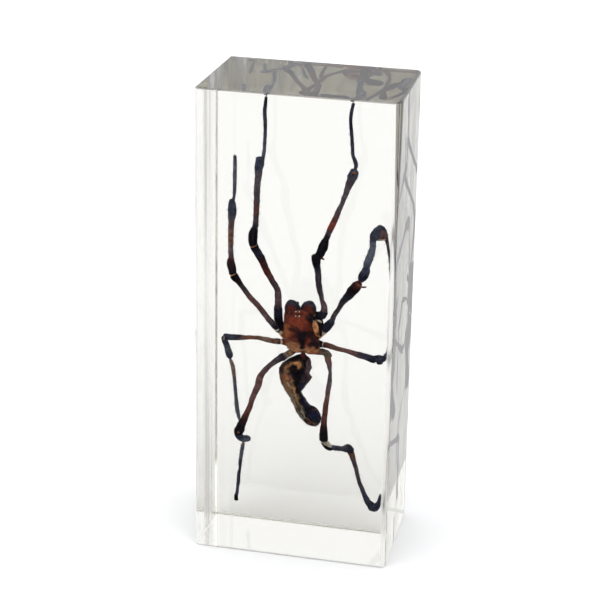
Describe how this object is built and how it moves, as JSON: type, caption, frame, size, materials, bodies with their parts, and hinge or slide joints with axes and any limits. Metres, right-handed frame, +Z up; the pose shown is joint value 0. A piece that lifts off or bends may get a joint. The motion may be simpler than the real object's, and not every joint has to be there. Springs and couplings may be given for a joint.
{
  "type": "spider in resin block",
  "caption": "Upright rectangular block of clear cast resin with a dried long-legged spider sealed in it, back to the front.",
  "frame": {"origin": "middle of the block's flat foot", "axes": "+Z up along the block's height, -Y out of the front face that the spider's back turns to, X across the front"},
  "size_m": [0.045, 0.0286, 0.11],
  "materials": {
    "clear_resin": "polished",
    "spider_shell": "satin",
    "spider_abdomen": "satin",
    "spider_eyes": "gloss",
    "spider_hair": "matte"
  },
  "bodies": {
    "root": {"resin_front_half": "clear_resin", "resin_back_half": "clear_resin", "spider": "spider_shell"}
  },
  "joints": []
}
